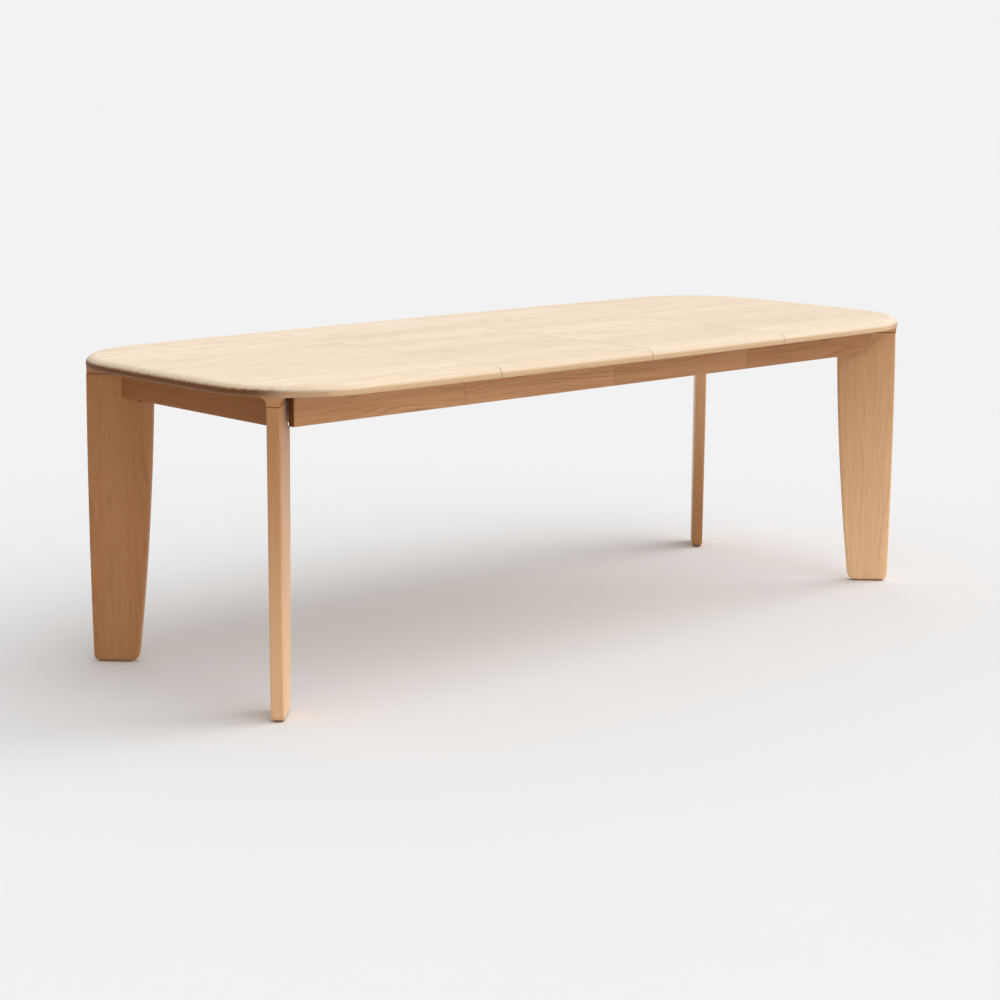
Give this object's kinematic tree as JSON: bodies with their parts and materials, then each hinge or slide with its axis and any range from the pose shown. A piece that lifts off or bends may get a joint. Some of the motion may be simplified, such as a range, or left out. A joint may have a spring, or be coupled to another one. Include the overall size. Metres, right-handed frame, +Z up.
{
  "type": "extendable dining table",
  "caption": "Pale oak extendable dining table with boat-shaped top, insert leaves in place and diagonal plank legs.",
  "frame": {"origin": "on the floor, under the middle of the table with both leaves in place", "axes": "+X along the table towards the right end, +Y towards the back, +Z up"},
  "size_m": [2.2998, 0.94, 0.76],
  "materials": {
    "oak_top": "matte oiled",
    "oak_base": "matte oiled",
    "plain_wood": "planed",
    "steel": "zinc plated",
    "pale_plastic": "moulded",
    "dark_plastic": "moulded"
  },
  "bodies": {
    "centre_frame": {"centre_front_runner": "plain_wood", "centre_back_runner": "plain_wood", "left_tie": "plain_wood", "middle_tie": "plain_wood", "right_tie": "plain_wood", "rack_guide": "pale_plastic", "pinion_pin": "steel", "tie_screws": "steel"},
    "pinion": {"pinion": "pale_plastic"},
    "left_half": {"left_top": "oak_top", "left_front_apron": "oak_base", "left_front_corner_block": "plain_wood", "left_front_cap": "oak_base", "left_front_leg": "oak_base", "left_front_runner": "plain_wood", "left_back_apron": "oak_base", "left_back_corner_block": "plain_wood", "left_back_cap": "oak_base", "left_back_leg": "oak_base", "left_back_runner": "plain_wood", "left_end_apron": "oak_base", "left_leg_bolts": "steel", "left_foot_pads": "dark_plastic", "left_screws": "steel", "left_rack": "pale_plastic"},
    "right_half": {"right_top": "oak_top", "right_front_apron": "oak_base", "right_front_corner_block": "plain_wood", "right_front_cap": "oak_base", "right_front_leg": "oak_base", "right_front_runner": "plain_wood", "right_back_apron": "oak_base", "right_back_corner_block": "plain_wood", "right_back_cap": "oak_base", "right_back_leg": "oak_base", "right_back_runner": "plain_wood", "right_end_apron": "oak_base", "right_leg_bolts": "steel", "right_foot_pads": "dark_plastic", "right_screws": "steel", "right_rack": "pale_plastic"},
    "leaf_a": {"leaf_a_top": "oak_top", "leaf_a_front_apron": "oak_base", "leaf_a_back_apron": "oak_base", "leaf_a_battens": "plain_wood", "leaf_a_screws": "steel", "leaf_a_studs": "steel"},
    "leaf_b": {"leaf_b_top": "oak_top", "leaf_b_front_apron": "oak_base", "leaf_b_back_apron": "oak_base", "leaf_b_battens": "plain_wood", "leaf_b_screws": "steel", "leaf_b_studs": "steel"},
    "left_front_latch": {"left_front_latch": "steel"},
    "left_back_latch": {"left_back_latch": "steel"},
    "middle_front_latch": {"middle_front_latch": "steel"},
    "middle_back_latch": {"middle_back_latch": "steel"},
    "right_front_latch": {"right_front_latch": "steel"},
    "right_back_latch": {"right_back_latch": "steel"}
  },
  "joints": [
    {"name": "left_slide", "type": "slide", "parent": "centre_frame", "child": "left_half", "axis": [-1, 0, 0], "range_m": [0, 0.008]},
    {"name": "right_slide", "type": "slide", "parent": "centre_frame", "child": "right_half", "axis": [1, 0, 0], "range_m": [0, 0.008]},
    {"name": "pinion_spin", "type": "hinge", "parent": "centre_frame", "child": "pinion", "pos_m": [0, 0, 0.697], "axis": [0, 0, 1], "range_deg": [0, 25]},
    {"name": "leaf_a_lift", "type": "slide", "parent": "centre_frame", "child": "leaf_a", "axis": [0, 0, 1], "range_m": [0, 0.35]},
    {"name": "leaf_b_lift", "type": "slide", "parent": "centre_frame", "child": "leaf_b", "axis": [0, 0, 1], "range_m": [0, 0.35]},
    {"name": "left_front_latch_turn", "type": "hinge", "parent": "left_half", "child": "left_front_latch", "pos_m": [-0.522, -0.12, 0.73], "axis": [0, 0, 1], "range_deg": [0, 90]},
    {"name": "left_back_latch_turn", "type": "hinge", "parent": "left_half", "child": "left_back_latch", "pos_m": [-0.522, 0.12, 0.73], "axis": [0, 0, -1], "range_deg": [0, 90]},
    {"name": "middle_front_latch_turn", "type": "hinge", "parent": "leaf_a", "child": "middle_front_latch", "pos_m": [-0.022, -0.12, 0.73], "axis": [0, 0, 1], "range_deg": [0, 90]},
    {"name": "middle_back_latch_turn", "type": "hinge", "parent": "leaf_a", "child": "middle_back_latch", "pos_m": [-0.022, 0.12, 0.73], "axis": [0, 0, -1], "range_deg": [0, 90]},
    {"name": "right_front_latch_turn", "type": "hinge", "parent": "right_half", "child": "right_front_latch", "pos_m": [0.522, -0.12, 0.73], "axis": [0, 0, -1], "range_deg": [0, 90]},
    {"name": "right_back_latch_turn", "type": "hinge", "parent": "right_half", "child": "right_back_latch", "pos_m": [0.522, 0.12, 0.73], "axis": [0, 0, 1], "range_deg": [0, 90]}
  ],
  "couplings": [
    {"joint": "right_slide", "follows": "left_slide", "ratio": 1},
    {"joint": "pinion_spin", "follows": "left_slide", "rad_per_m": 50}
  ]
}
